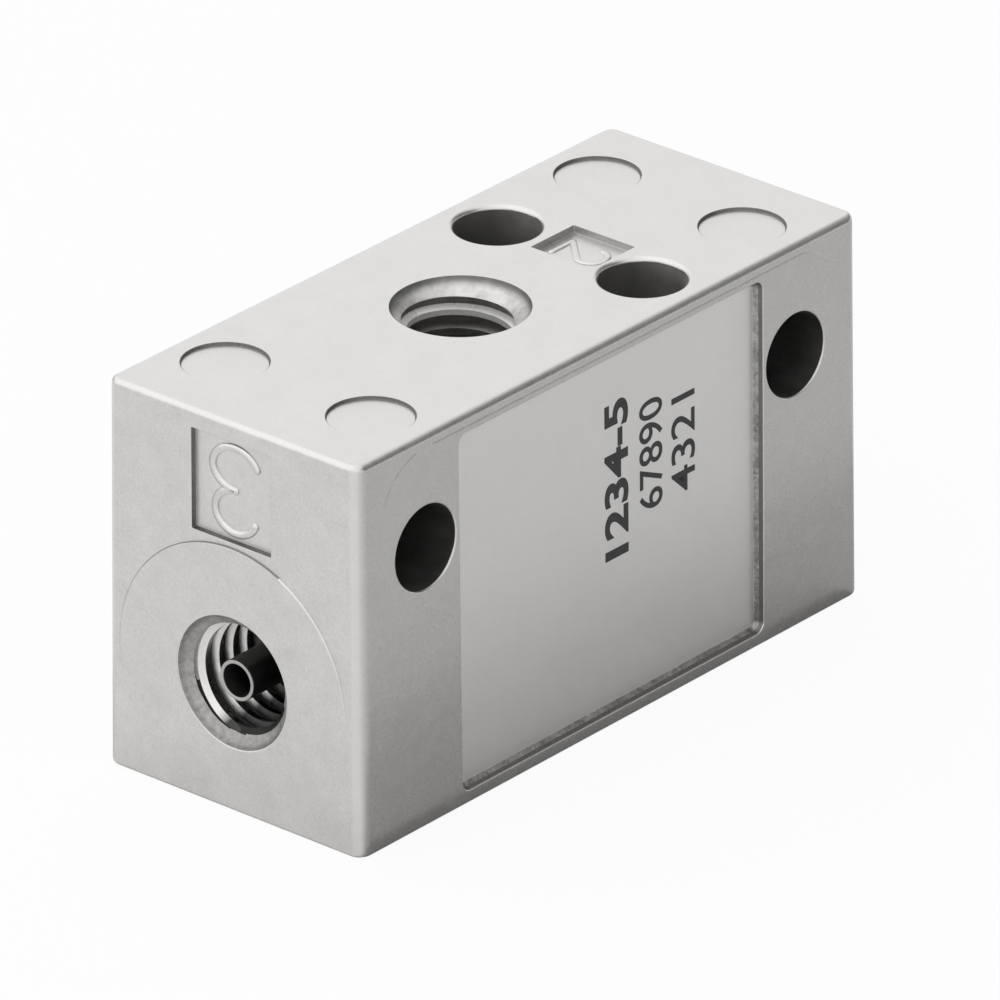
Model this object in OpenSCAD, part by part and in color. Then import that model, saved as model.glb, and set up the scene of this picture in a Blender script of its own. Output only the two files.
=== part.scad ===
// Inline vacuum ejector with three M5 ports.
// One die-cast housing holds a Venturi pair on a single axis: a jet nozzle pressed
// in from the supply port and a receiver nozzle pressed in from the exhaust port.
// Origin: centre of the housing's foot. +X points out of the supply port, -X out of
// the exhaust port and +Z out of the vacuum port. All sizes are in millimetres.

/* [Housing] */
// Length at the foot, where the mould parts
housing_l = 30; // [29:0.5:36]
// Width at the foot
housing_w = 13; // [12.5:0.5:18]
// Height
housing_h = 16.5; // [16.5:0.5:22]
// Mould draft of the four sides, in degrees
draft = 0.5; // [0.2:0.1:1.5]
// Radius of the upright corners
corner_r = 0.6; // [0.55:0.05:1.2]
// Radius of the edges around the top face
edge_r = 0.36; // [0.2:0.02:0.5]

/* [Ports] */
// Height of the supply and exhaust axis above the foot
port_z = 5.5; // [5:0.1:6]
// Place of the vacuum port along the length
vacuum_x = -1.5; // [-3:0.1:0]
// Tapping drill of the M5 ports
port_d = 4.2; // [4:0.1:4.3]
// Depth of the tapping drill
port_depth = 5.5; // [5:0.1:6]
// Width of the countersunk mouths
mouth_d = 5.5; // [5:0.1:6]
// Diameter of the cast seat around each end port
seat_d = 11.5; // [9:0.1:12]

/* [Air passages] */
// Bore that takes the receiver nozzle and forms the mixing chamber
chamber_d = 3; // [2.8:0.1:3.2]
// Bore that takes the jet nozzle
jet_bore_d = 2.4; // [2.2:0.1:2.6]
// Passage that drops from the vacuum port to the chamber
suction_d = 2.6; // [2:0.1:2.7]
// Length that the chamber runs on past the passage, towards the jet
chamber_run = 0.6; // [0.2:0.1:1]
// Free length between the jet's tip and the receiver's mouth
nozzle_gap = 1.4; // [1:0.1:1.8]

/* [Mounting holes] */
// Diameter of the M3 clearance holes
hole_d = 3.5; // [3.2:0.1:3.6]
// Spacing of the two holes through the sides
side_pitch = 22; // [21.8:0.1:23]
// Depth of those holes below the top face
side_drop = 4.7; // [4:0.1:5]
// Place of the two upright holes along the length
upright_x = 5; // [4.6:0.1:6]
// Spacing of the two upright holes across the width
upright_pitch = 7.35; // [7:0.05:7.6]
// Rounding of their upper rims
rim_r = 0.2; // [0.1:0.05:0.3]

/* [Label panels] */
// Length of the sunk panel in each long side
panel_l = 18.1; // [12:0.1:18.2]
// Height of its lower rim above the foot
panel_rise = 0.5; // [0.3:0.1:2]
// Distance from its upper rim to the top face
panel_drop = 0.75; // [0.7:0.05:2]
// Depth of the panel
panel_depth = 0.5; // [0.2:0.1:0.6]
// Radius of its corners
panel_r = 0.45; // [0.3:0.05:1.5]

/* [Port number recesses] */
// Depth of the three recesses
mark_depth = 0.3; // [0.15:0.05:0.5]
// Width of the recess above each end port
end_mark_w = 4; // [3:0.1:5]
// Height of that recess
end_mark_h = 4.25; // [3:0.25:4.25]
// Distance from that recess up to the top face
end_mark_drop = 0.8; // [0.7:0.1:1]
// Length of the recess between the upright holes
top_mark_l = 2.6; // [2:0.1:3]
// Width of that recess
top_mark_w = 3.1; // [2.5:0.1:3.1]
// Place of its centre along the length
top_mark_x = 5.6; // [5:0.1:6.4]
// Place of its centre across the width
top_mark_y = -0.15; // [-0.2:0.05:0.2]

/* [Ejector pin marks] */
// Diameter of the four shallow discs on the top face
pin_mark_d = 3.45; // [2:0.05:3.6]
// Depth of the discs
pin_mark_depth = 0.15; // [0.05:0.05:0.3]
// Spacing of the discs along the length
pin_mark_pitch = 22; // [20:0.5:24]

/* [Nozzles] */
// Clearance around what is pressed into the housing, on the radius
press_gap = 0.005; // [0.005:0.005:0.02]
// Diameter of each nozzle's collar, sunk flush in the floor of its port
collar_d = 3.6; // [3.4:0.1:3.8]
// Thickness of the collars
collar_t = 0.8; // [0.5:0.1:1.2]
// Clearance around each collar, on the radius
collar_gap = 0.05; // [0.05:0.05:0.15]
// Lead-in chamfer on each pressed shank
lead_in = 0.25; // [0.1:0.05:0.4]

/* [Jet nozzle] */
// Bore that feeds the throat
jet_feed_d = 1.5; // [1.2:0.1:1.7]
// Throat of the Laval nozzle
jet_throat_d = 0.5; // [0.4:0.05:0.7]
// Width of the flared outlet
jet_outlet_d = 0.66; // [0.65:0.01:0.9]
// Length of the flare from throat to outlet
jet_flare_l = 1.2; // [0.8:0.1:1.6]
// Length of the funnel that narrows to the throat
jet_funnel_l = 1.4; // [1:0.1:2]
// Length of the conical nose
jet_nose_l = 1.6; // [1:0.1:2]
// Width of the nose at its tip
jet_tip_d = 1.2; // [1:0.1:1.4]

/* [Receiver nozzle] */
// Outside of the tail tube that stands in the exhaust port
tail_od = 1.7; // [1.6:0.02:2]
// Inside of the tail tube at its end
tail_id = 1.36; // [1.1:0.02:1.4]
// Depth of the tube's end inside the exhaust face
tail_inset = 0.25; // [0.1:0.05:1]
// Throat of the receiver
receiver_throat_d = 0.9; // [0.8:0.05:1]
// Width of the flared mouth
receiver_mouth_d = 2; // [1.6:0.1:2.2]
// Length of the funnel from mouth to throat
receiver_funnel_l = 1.2; // [0.8:0.1:2]
// Length of the straight throat
receiver_throat_l = 2.5; // [1:0.1:3]

/* [Hidden] */

$fn = 64;
edge_fn = 32;   // steps around the rounded edges
over = 1;       // how far a cutter runs past the face that it cuts
sliver = 0.01;  // thickness of the foot outline that the body grows from

alloy_colour = [0.78, 0.775, 0.765];
brass_colour = [0.80, 0.66, 0.36];
steel_colour = [0.55, 0.54, 0.53];

// Distance of an end port's seat from the centre: where the drafted end stands at the
// height of the port's axis
seat_x = housing_l / 2 - port_z * tan(draft);
// Distance of the shoulder below each end port's floor, where a collar seats
shoulder_x = seat_x - port_depth - collar_t;
vacuum_floor_z = housing_h - port_depth;
jet_tip_x = vacuum_x + nozzle_gap / 2;
receiver_mouth_x = vacuum_x - nozzle_gap / 2;
chamber_end_x = vacuum_x + suction_d / 2 + chamber_run;
tail_end_x = tail_inset - seat_x;
side_hole_z = housing_h - side_drop;
end_mark_z = housing_h - end_mark_drop - end_mark_h / 2;
panel_h = housing_h - panel_drop - panel_rise;

// One corner of the drafted block: its outline at the foot and its rounded rim at the
// top, with the same upright radius all the way
module corner() {
    waist = corner_r - edge_r;
    lean = (housing_h - edge_r) * tan(draft) + edge_r / cos(draft) + waist;
    translate([housing_l / 2 - corner_r, housing_w / 2 - corner_r, 0])
        cylinder(r = corner_r, h = sliver, $fn = edge_fn);
    translate([housing_l / 2 - lean, housing_w / 2 - lean, housing_h - edge_r])
        rotate_extrude($fn = edge_fn) {
            square([waist, edge_r]);
            translate([waist, 0])
                intersection() {
                    circle(r = edge_r, $fn = edge_fn);
                    square(edge_r);
                }
        }
}

module drafted_block() {
    hull()
        for (x = [0, 1], y = [0, 1])
            mirror([x, 0, 0]) mirror([0, y, 0]) corner();
}

// Places a shape drawn flat on the long side at -Y (side = 0) or +Y (side = 1):
// X runs along the foot, Y up the drafted face and Z out of the metal
module on_side(side) {
    mirror([0, side, 0])
        translate([0, -housing_w / 2, 0])
            rotate([90 - draft, 0, 0])
                children();
}

// The same for the short end at -X (end = 0) or +X (end = 1)
module on_end(end) {
    mirror([end, 0, 0])
        translate([-housing_l / 2, 0, 0])
            rotate([90 - draft, 0, -90])
                children();
}

// Points children along the port axis, out of the exhaust (end = 0) or the supply
// (end = 1), with their Z = 0 on the port's seat
module at_port(end) {
    mirror([1 - end, 0, 0])
        translate([seat_x, 0, port_z])
            rotate([0, 90, 0])
                children();
}

module rounded_panel(length, height, r) {
    translate([-length / 2 + r, 0]) square([length - 2 * r, height]);
    translate([-length / 2, r]) square([length, height - 2 * r]);
    for (x = [-1, 1], y = [r, height - r])
        translate([x * (length / 2 - r), y]) circle(r);
}

// A port's tapping drill with its countersunk mouth, cut downwards from Z = 0
module port_cut() {
    sink = (mouth_d - port_d) / 2;
    translate([0, 0, -port_depth]) cylinder(d = port_d, h = port_depth + over);
    translate([0, 0, -sink])
        cylinder(d1 = port_d, d2 = mouth_d + 2 * over, h = sink + over);
}

// An upright hole, from below the foot to above the rounded rim
module upright_cut() {
    translate([0, 0, -over]) cylinder(d = hole_d, h = housing_h + 2 * over);
    translate([0, 0, housing_h - rim_r])
        rotate_extrude()
            difference() {
                square([hole_d / 2 + rim_r, rim_r + over]);
                translate([hole_d / 2 + rim_r, 0]) circle(rim_r);
            }
}

module collar_cut() {
    translate([0, 0, -port_depth - collar_t])
        cylinder(r = collar_d / 2 + collar_gap, h = collar_t + over);
}

module air_passages() {
    for (end = [0, 1])
        at_port(end) {
            port_cut();
            collar_cut();
        }
    translate([vacuum_x, 0, housing_h]) port_cut();
    translate([-shoulder_x - over, 0, port_z]) rotate([0, 90, 0])
        cylinder(d = chamber_d, h = chamber_end_x + shoulder_x + over);
    translate([chamber_end_x - over, 0, port_z]) rotate([0, 90, 0])
        cylinder(d = jet_bore_d, h = shoulder_x - chamber_end_x + 2 * over);
    translate([vacuum_x, 0, port_z])
        cylinder(d = suction_d, h = vacuum_floor_z - port_z + over);
}

module mounting_holes() {
    for (x = [-1, 1])
        translate([x * side_pitch / 2, 0, side_hole_z]) rotate([90, 0, 0])
            cylinder(d = hole_d, h = housing_w + 2 * over, center = true);
    for (y = [-1, 1])
        translate([upright_x, y * upright_pitch / 2, 0]) upright_cut();
}

module sunk_panels() {
    for (side = [0, 1])
        on_side(side)
            translate([0, panel_rise, -panel_depth])
                linear_extrude(panel_depth + over)
                    rounded_panel(panel_l, panel_h, panel_r);
}

module number_recesses() {
    for (end = [0, 1])
        on_end(end)
            translate([0, end_mark_z, -mark_depth])
                linear_extrude(mark_depth + over)
                    square([end_mark_w, end_mark_h], center = true);
    translate([top_mark_x, top_mark_y, housing_h - mark_depth])
        linear_extrude(mark_depth + over)
            square([top_mark_l, top_mark_w], center = true);
}

module pin_marks() {
    for (x = [-1, 1], y = [-1, 1])
        translate([x * pin_mark_pitch / 2, y * upright_pitch / 2, housing_h - pin_mark_depth])
            cylinder(d = pin_mark_d, h = pin_mark_depth + over);
}

// The flat disc cast around each end port: it stands proud of the leaning end above
// the port's axis and sinks into it below
module port_seats() {
    intersection() {
        for (end = [0, 1])
            at_port(end) translate([0, 0, -over]) cylinder(d = seat_d, h = over);
        translate([-housing_l / 2, -housing_w / 2, 0]) cube([housing_l, housing_w, housing_h]);
    }
}

module housing() {
    color(alloy_colour)
        difference() {
            union() {
                drafted_block();
                port_seats();
            }
            air_passages();
            mounting_holes();
            sunk_panels();
            number_recesses();
            pin_marks();
        }
}

// Laval nozzle: wide feed, funnel, throat and flared outlet. Drawn from the tip at
// Z = 0 to the back of the collar.
module jet_nozzle() {
    seat = shoulder_x - jet_tip_x;
    shank_r = jet_bore_d / 2 - press_gap;
    color(brass_colour)
        translate([jet_tip_x, 0, port_z]) rotate([0, 90, 0])
            rotate_extrude()
                polygon([
                    [jet_outlet_d / 2, 0],
                    [jet_tip_d / 2, 0],
                    [shank_r, jet_nose_l],
                    [shank_r, seat],
                    [collar_d / 2, seat],
                    [collar_d / 2, seat + collar_t],
                    [jet_feed_d / 2 + lead_in, seat + collar_t],
                    [jet_feed_d / 2, seat + collar_t - lead_in],
                    [jet_feed_d / 2, jet_flare_l + jet_funnel_l],
                    [jet_throat_d / 2, jet_flare_l]
                ]);
}

// Receiver: flared mouth, straight mixing throat and a diffuser that widens through
// the tail tube. Drawn from the mouth at Z = 0 to the tube's end.
module receiver_nozzle() {
    seat = shoulder_x + receiver_mouth_x;
    tail = receiver_mouth_x - tail_end_x;
    shank_r = chamber_d / 2 - press_gap;
    color(steel_colour)
        translate([receiver_mouth_x, 0, port_z]) rotate([0, -90, 0])
            rotate_extrude()
                polygon([
                    [receiver_mouth_d / 2, 0],
                    [shank_r - lead_in, 0],
                    [shank_r, lead_in],
                    [shank_r, seat],
                    [collar_d / 2, seat],
                    [collar_d / 2, seat + collar_t],
                    [tail_od / 2, seat + collar_t],
                    [tail_od / 2, tail],
                    [tail_id / 2, tail],
                    [receiver_throat_d / 2, receiver_funnel_l + receiver_throat_l],
                    [receiver_throat_d / 2, receiver_funnel_l]
                ]);
}

housing();
jet_nozzle();
receiver_nozzle();
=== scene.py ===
"""Looks of the vacuum ejector: a die-cast body with three threaded ports and two nozzles.

Lengths in this script are millimetres in the frame of the CAD part (+Z up, +X out of the
supply port) until a mesh is handed to Blender, which takes metres. Shapes are drawn about
their own origin with Z out of the surface, and laid on the part by the matrices ON_FRONT,
EXHAUST and so on.
"""
import math

import bpy
import numpy as np
from mathutils import Matrix, Vector


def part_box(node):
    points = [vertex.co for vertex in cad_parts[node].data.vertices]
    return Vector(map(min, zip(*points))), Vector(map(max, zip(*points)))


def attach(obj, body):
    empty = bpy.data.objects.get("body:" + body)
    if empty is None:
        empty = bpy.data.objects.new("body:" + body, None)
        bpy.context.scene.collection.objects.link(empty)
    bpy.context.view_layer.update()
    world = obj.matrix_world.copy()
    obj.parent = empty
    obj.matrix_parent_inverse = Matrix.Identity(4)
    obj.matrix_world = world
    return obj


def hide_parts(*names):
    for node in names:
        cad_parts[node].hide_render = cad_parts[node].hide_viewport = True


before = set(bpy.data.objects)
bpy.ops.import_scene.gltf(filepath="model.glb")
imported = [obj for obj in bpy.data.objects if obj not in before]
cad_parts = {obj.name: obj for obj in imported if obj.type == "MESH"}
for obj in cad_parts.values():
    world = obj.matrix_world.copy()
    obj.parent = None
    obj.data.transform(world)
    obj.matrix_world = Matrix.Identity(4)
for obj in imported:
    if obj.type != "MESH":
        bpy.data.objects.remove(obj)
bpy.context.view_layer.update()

MM = 0.001


# ---------------------------------------------------------------- sizes, in mm
low, high = (np.array(v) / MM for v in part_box("housing"))
LENGTH, WIDTH, HEIGHT = high - low
DRAFT = math.radians(0.5)
CORNER_R = 0.6
EDGE_R = 0.36       # long edges of the top face
END_EDGE_R = 0.22   # short edges of the top face
FOOT_R = 0.2

PORT_Z = 5.5
VACUUM_X = -1.5
SEAT_X = LENGTH / 2 - PORT_Z * math.tan(DRAFT)
SEAT_D = 11.5
SEAT_EDGE_R = 0.06
SEAT_PROUD = 0.03
SEAT_ROOT = 1.5     # how far the seat's disc reaches into the block

PORT_D = 4.2        # tapping drill
PORT_DEPTH = 5.5
# The hollow countersink of a port: height and radius, from its foot to its rim
MOUTH_Z = (-0.70, -0.50, -0.38, -0.28, -0.18, -0.07, 0.0)
MOUTH_R = (2.05, 2.30, 2.48, 2.60, 2.68, 2.73, 2.765)
MOUTH_FLARE = 0.045   # how far the countersink's cutter spreads above the rim

THREAD_D = 5.0
TAP_CORE_D = PORT_D - 0.08   # lies just inside the drilled wall
THREAD_PITCH = 0.8
THREAD_FLANK = math.radians(30)
THREAD_START, THREAD_END = 0.37, 4.55   # below the port's mouth
THREAD_RUN_OUT = 0.1
THREAD_MID = 2.36   # radius where the bright flank meets the root's painted shade
THREAD_ROOT_FLAT = 0.0625   # half the root's flat, in pitches, before it is rounded
# Rounding of the root: half its width in pitches, and how far that lies inside THREAD_D
THREAD_ROOT = ((0.045, 0.0), (0.0825, 0.03))

# Stepped bore between the end ports
COLLAR_D, COLLAR_T, COLLAR_GAP = 3.6, 0.8, 0.05
CHAMBER_D = 3.0
JET_BORE_D = 2.4
SUCTION_D = 2.6
CHAMBER_END_X = VACUUM_X + SUCTION_D / 2 + 0.6
SHOULDER_X = SEAT_X - PORT_DEPTH - COLLAR_T
OVERLAP = 0.3       # how far one bore's cutter reaches into the next

HOLE_D = 3.5
SIDE_PITCH = 22.0
SIDE_HOLE_Z = HEIGHT - 4.7
SIDE_RIM_R = 0.08
UPRIGHT_X = 5.0
UPRIGHT_PITCH = 7.35
UPRIGHT_RIM_R = 0.2
PIN_MARK_D = 3.45
PIN_MARK_DEPTH = 0.12

PANEL_L, PANEL_H = 18.1, 15.18
PANEL_RISE = 0.57
PANEL_DEPTH = 0.35
PANEL_R = 0.45
PANEL_WALL = (0.22, 0.08, 0.07)   # slope, fillet at the floor, radius at the rim
END_MARK_W, END_MARK_H = 4.0, 4.25
END_MARK_Z = HEIGHT - 0.8 - END_MARK_H / 2
END_MARK_DEPTH = 0.2
TOP_MARK_L, TOP_MARK_W = 2.6, 3.1
TOP_MARK_X, TOP_MARK_Y = 5.6, -0.15
TOP_MARK_DEPTH = 0.3
MARK_R = 0.06
MARK_WALLS = (0.04, 0.05, 0.02)   # slope, fillet at the floor, radius at the rim

# Nozzles. Heights are from the receiver's mouth and from the jet's tip.
NOZZLE_FIT = 0.005
NOZZLE_EDGE_R = 0.06
RECEIVER_MOUTH_X = VACUUM_X - 0.7
RECEIVER_MOUTH_R, RECEIVER_LEAD = 1.0, 0.25
RECEIVER_THROAT_R, RECEIVER_THROAT_Z = 0.45, (1.2, 3.7)
TAIL_OD, TAIL_ID, TAIL_INSET = 1.70, 1.36, 0.25
JET_TIP_X = VACUUM_X + 0.7
JET_OUTLET_R, JET_TIP_R, JET_TAPER = 0.33, 0.6, 1.6
JET_THROAT_R, JET_THROAT_Z = 0.25, 1.2
JET_FEED_R, JET_FEED_Z = 0.75, 2.6
JET_BACK_R = 1.0

INK_T = 0.008
LINE_W = 0.08
LINE_SUNK = 0.02

# Zones of the housing's surface, each with a finish of its own, many of them painted shade and
# one painted light
(CAST, PANEL, WALL_PAINTED_SHADE, WALL_LOW_PAINTED_SHADE, MARK, MARK_WALL_PAINTED_SHADE, RING_PAINTED_SHADE, SINK, SINK_UP, CREST, CREST_UP_PAINTED_LIGHT, ROOT_PAINTED_SHADE,
 ROOT_UP_PAINTED_SHADE, PORT_PAINTED_SHADE, BORE_PAINTED_SHADE, UPRIGHT) = range(16)

# How the zones are told apart: mm, degrees round a port, and how far a face turns upward
RECESS_MARGIN = 0.05
FLAT_UP, FLOOR_UP, FLANK_UP = 0.99, 0.95, 0.3
PANEL_RIM_Z = -0.045         # a panel's wall is cast skin above this height
PANEL_SHADE_SPLIT = 0.6             # and gets a lighter painted shade below this share of its depth, a darker one above it
LIT_Z = -3.6                 # below this height the tapped crests keep the roots' painted shade
CREST_R, THIN_CREST_R = 2.12, 2.17
FIRST_TURN_Z = -1.42         # foot of the vacuum port's first turn of thread
# Painted shade round the end ports, in degrees: stretches of the first groove, of the
# countersink's foot inside a radius, and of the seat's edge
GROOVE_Z, GROOVE_PAINTED_SHADE = -1.05, (-162, 0)
MOUTH_PAINTED_SHADE_R, MOUTH_PAINTED_SHADE = 2.33, (-104, -15)
SEAT_EDGE_PAINTED_SHADE = (66, 178)


# ---------------------------------------------------------------- placing
def place(origin, right, up):
    """Matrix that lays a shape drawn in X (right) and Y (up), with Z out, at an origin."""
    right, up = Vector(right).normalized(), Vector(up).normalized()
    m = Matrix((right, up, right.cross(up))).transposed().to_4x4()
    m.translation = Vector(origin)
    return m


def move(x, y, z=0.0):
    return Matrix.Translation((x, y, z))


LEAN = math.sin(DRAFT), math.cos(DRAFT)
ON_FRONT = place((0, -WIDTH / 2, 0), (1, 0, 0), (0, LEAN[0], LEAN[1]))
ON_BACK = place((0, WIDTH / 2, 0), (-1, 0, 0), (0, -LEAN[0], LEAN[1]))
ON_LEFT = place((-LENGTH / 2, 0, 0), (0, -1, 0), (LEAN[0], 0, LEAN[1]))
ON_RIGHT = place((LENGTH / 2, 0, 0), (0, 1, 0), (-LEAN[0], 0, LEAN[1]))
ON_TOP = move(0, 0, HEIGHT)
EXHAUST = place((-SEAT_X, 0, PORT_Z), (0, -1, 0), (0, 0, 1))
SUPPLY = place((SEAT_X, 0, PORT_Z), (0, 1, 0), (0, 0, 1))
VACUUM = move(VACUUM_X, 0, HEIGHT)

PANELS = [side @ move(0, PANEL_RISE + PANEL_H / 2) for side in (ON_FRONT, ON_BACK)]
END_MARKS = [end @ move(0, END_MARK_Z) for end in (ON_LEFT, ON_RIGHT)]
TOP_MARK = ON_TOP @ move(TOP_MARK_X, TOP_MARK_Y)
PIN_MARKS = [ON_TOP @ move(x * SIDE_PITCH / 2, y * UPRIGHT_PITCH / 2)
             for x in (-1, 1) for y in (-1, 1)]
SIDE_HOLES = [place((x * SIDE_PITCH / 2, 0, SIDE_HOLE_Z), (1, 0, 0), (0, 0, 1)) for x in (-1, 1)]
UPRIGHT_HOLES = [move(UPRIGHT_X, y * UPRIGHT_PITCH / 2) for y in (-1, 1)]


# ---------------------------------------------------------------- mesh building
def skin(rings, closed=False):
    """Points and faces of a skin through equal rings of points that climb along +Z."""
    n, m = len(rings[0]), len(rings)
    faces = []
    for i in range(m if closed else m - 1):
        a, b = i * n, (i + 1) % m * n
        faces += [(a + j, a + (j + 1) % n, b + (j + 1) % n, b + j) for j in range(n)]
    if not closed:
        faces += [tuple(reversed(range(n))), tuple(range((m - 1) * n, m * n))]
    return np.concatenate(rings), faces


def circle(radius, z, steps):
    a = np.linspace(0, 2 * math.pi, steps, endpoint=False)
    return np.stack([radius * np.cos(a), radius * np.sin(a), np.full(steps, z)], 1)


def lathe(profile, steps=96, closed=False):
    """Turns (radius, height) pairs about Z. A closed profile makes a ring."""
    return skin([circle(r, z, steps) for r, z in profile], closed)


def rounded_rectangle(hx, hy, radius, z, corner_steps=8):
    points = []
    for quarter, (sx, sy) in enumerate([(1, 1), (-1, 1), (-1, -1), (1, -1)]):
        for k in range(corner_steps + 1):
            a = (quarter + k / corner_steps) * math.pi / 2
            points.append((sx * (hx - radius) + radius * math.cos(a),
                           sy * (hy - radius) + radius * math.sin(a), z))
    return np.array(points)


def arc(centre, radius, start, end, steps):
    """Points on an arc between two angles in degrees."""
    a = np.radians(np.linspace(start, end, steps + 1))
    return [(centre[0] + radius * math.cos(t), centre[1] + radius * math.sin(t)) for t in a]


def eased(a, corner, b, shares):
    """Points at some shares of a curve that leaves a and reaches b round a corner."""
    return [(1 - t) ** 2 * a + 2 * t * (1 - t) * corner + t * t * b for t in shares]


def make(name, shape, at=Matrix.Identity(4)):
    """An object in mm from points and faces, set in place by a matrix."""
    points, faces = shape
    mesh = bpy.data.meshes.new(name)
    m = np.array(at)
    points = points @ m[:3, :3].T + m[:3, 3]
    mesh.from_pydata(points.tolist(), [], faces)
    mesh.update()
    obj = bpy.data.objects.new(name, mesh)
    bpy.context.scene.collection.objects.link(obj)
    return obj


def combine(body, tool, operation):
    """Cuts or adds one closed mesh to another and throws the tool away."""
    modifier = body.modifiers.new("combine", "BOOLEAN")
    modifier.operation = operation
    modifier.solver = "MANIFOLD"
    modifier.object = tool
    depsgraph = bpy.context.evaluated_depsgraph_get()
    mesh = bpy.data.meshes.new_from_object(body.evaluated_get(depsgraph))
    body.modifiers.clear()
    old, body.data = body.data, mesh
    bpy.data.meshes.remove(old)
    used = tool.data
    bpy.data.objects.remove(tool)
    bpy.data.meshes.remove(used)


def cut(body, shape, at=Matrix.Identity(4)):
    combine(body, make("tool", shape, at), "DIFFERENCE")


# ---------------------------------------------------------------- shapes of the housing
def drafted_block():
    """Rounded block that leans inward by the draft and rounds over into its top face."""
    rings = []
    for out, z in arc((-FOOT_R, FOOT_R), FOOT_R, 270, 360, 5):
        inset = out - z * math.tan(DRAFT)
        rings.append(rounded_rectangle(LENGTH / 2 + inset, WIDTH / 2 + inset, CORNER_R + out, z))

    def wall_inset(z, radius):
        """How far the wall lies inside the foot's outline, at a height."""
        start = HEIGHT - radius
        if z <= start:
            return z * math.tan(DRAFT)
        rise = min((z - start) / radius, 1.0)
        return start * math.tan(DRAFT) + radius * (1 - math.sqrt(1 - rise * rise))

    for _, z in arc((0, HEIGHT - EDGE_R), EDGE_R, 0, 90, 9):
        side, end = wall_inset(z, EDGE_R), wall_inset(z, END_EDGE_R)
        corner = CORNER_R + HEIGHT * math.tan(DRAFT) - side
        rings.append(rounded_rectangle(LENGTH / 2 - end, WIDTH / 2 - side, corner, z))
    return skin(rings)


def sunk_shape(hx, hy, corner, depth, slope, floor_r, rim_r):
    """Cutter for a shallow recess with sloping walls, a filleted floor and a rounded rim."""
    lean = math.atan2(slope, depth)
    reach = math.tan((math.pi / 2 - lean) / 2)
    wall = np.array([math.sin(lean), math.cos(lean)])
    foot, rim = np.array([-slope, -depth]), np.array([0.0, 0.0])
    a, b = foot - [floor_r * reach, 0], foot + wall * floor_r * reach
    c, d = rim - wall * rim_r * reach, rim + [rim_r * reach, 0]
    shares = (0.25, 0.5, 0.75)
    profile = [a, *eased(a, foot, b, shares), b, (b + c) / 2,
               c, *eased(c, rim, d, shares), d, d + [0.02, 1.0]]
    return skin([rounded_rectangle(hx + o, hy + o, max(corner + o, 0.02), z) for o, z in profile])


def rim_shape(radius, rim_r):
    """Cutter that rounds the rim of a bore whose mouth is at Z = 0."""
    profile = [(radius - 0.03, -rim_r - 0.1), (radius, -rim_r)]
    profile += arc((radius + rim_r, -rim_r), rim_r, 180, 96, 5)[1:]
    profile += [(radius + rim_r, 0.0), (radius + rim_r, 1.0)]
    return lathe(profile)


def bore_shape(radius, bottom, top):
    return lathe([(radius, bottom), (radius, top)])


def pin_mark_shape():
    """Cutter for the shallow round mark of an ejector pin."""
    r = PIN_MARK_D / 2
    return lathe([(r - 0.05, -PIN_MARK_DEPTH), (r - 0.02, -PIN_MARK_DEPTH + 0.03),
                  (r - 0.01, -0.02), (r + 0.02, 0.0), (r + 0.03, 1)])


def thread_shape(minor, major, pitch, bottom, top, steps=90):
    """Tap-shaped cutter: a cylinder whose skin rises and falls along a helix."""
    slope = math.tan(THREAD_FLANK) / pitch
    half = [(share, major - under) for share, under in THREAD_ROOT]
    half += [(THREAD_ROOT_FLAT + (major - r) * slope, r) for r in (THREAD_MID, minor)]
    wave = [(0.5 - f, r) for f, r in reversed(half)] + [(0.5 + f, r) for f, r in half]
    per_turn = len(wave)
    turns = math.ceil((top - bottom) / pitch) + 2
    rows = per_turn * turns
    along = np.array([wave[i % per_turn][0] + i // per_turn for i in range(rows)]) * pitch
    radius = np.array([wave[i % per_turn][1] for i in range(rows)])
    turn = np.arange(steps) / steps
    z = bottom - pitch + along[:, None] + turn[None, :] * pitch
    lead = np.clip((z - bottom) / pitch, 0, 1) * np.clip((top - z) / THREAD_RUN_OUT, 0, 1)
    r = minor + (radius[:, None] - minor) * lead
    a = 2 * math.pi * turn[None, :]
    points = np.stack([r * np.cos(a), r * np.sin(a), z], 2).reshape(-1, 3)

    def at(i, j):
        """A point's number. One step past a full turn lies a thread further up."""
        return i * steps + j if j < steps else (i + per_turn) * steps

    faces = [(at(i, j), at(i, j + 1), at(i + 1, j + 1), at(i + 1, j))
             for i in range(rows - 1) for j in range(steps)
             if j < steps - 1 or i + 1 + per_turn < rows]
    foot = [at(0, j) for j in range(steps)] + [at(i, 0) for i in range(per_turn, 0, -1)]
    head = [at(rows - 1, j) for j in range(steps)]
    head += [at(i, steps - 1) for i in range(rows - 2, rows - 2 - per_turn, -1)]
    centre = len(points)
    points = np.vstack([points, [(0, 0, z[0, 0] + pitch / 2), (0, 0, z[-1, 0] + pitch / 2)]])
    for k, v in enumerate(foot):
        faces.append((centre, foot[(k + 1) % len(foot)], v))
    for k, v in enumerate(head):
        faces.append((centre + 1, v, head[(k + 1) % len(head)]))
    return points, faces


def add_seats(body):
    """The faintly raised round seat of each end port, above the rounding of the foot."""
    seat = [(SEAT_D / 2, -SEAT_ROOT), (SEAT_D / 2, SEAT_PROUD - SEAT_EDGE_R)]
    seat += arc((SEAT_D / 2 - SEAT_EDGE_R, SEAT_PROUD - SEAT_EDGE_R), SEAT_EDGE_R, 0, 90, 4)[1:]
    below = skin([rounded_rectangle(LENGTH, LENGTH, 1, z) for z in (-2, FOOT_R)])
    for at in (EXHAUST, SUPPLY):
        disc = make("tool", lathe(seat, 160), at)
        cut(disc, below)
        combine(body, disc, "UNION")


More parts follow.
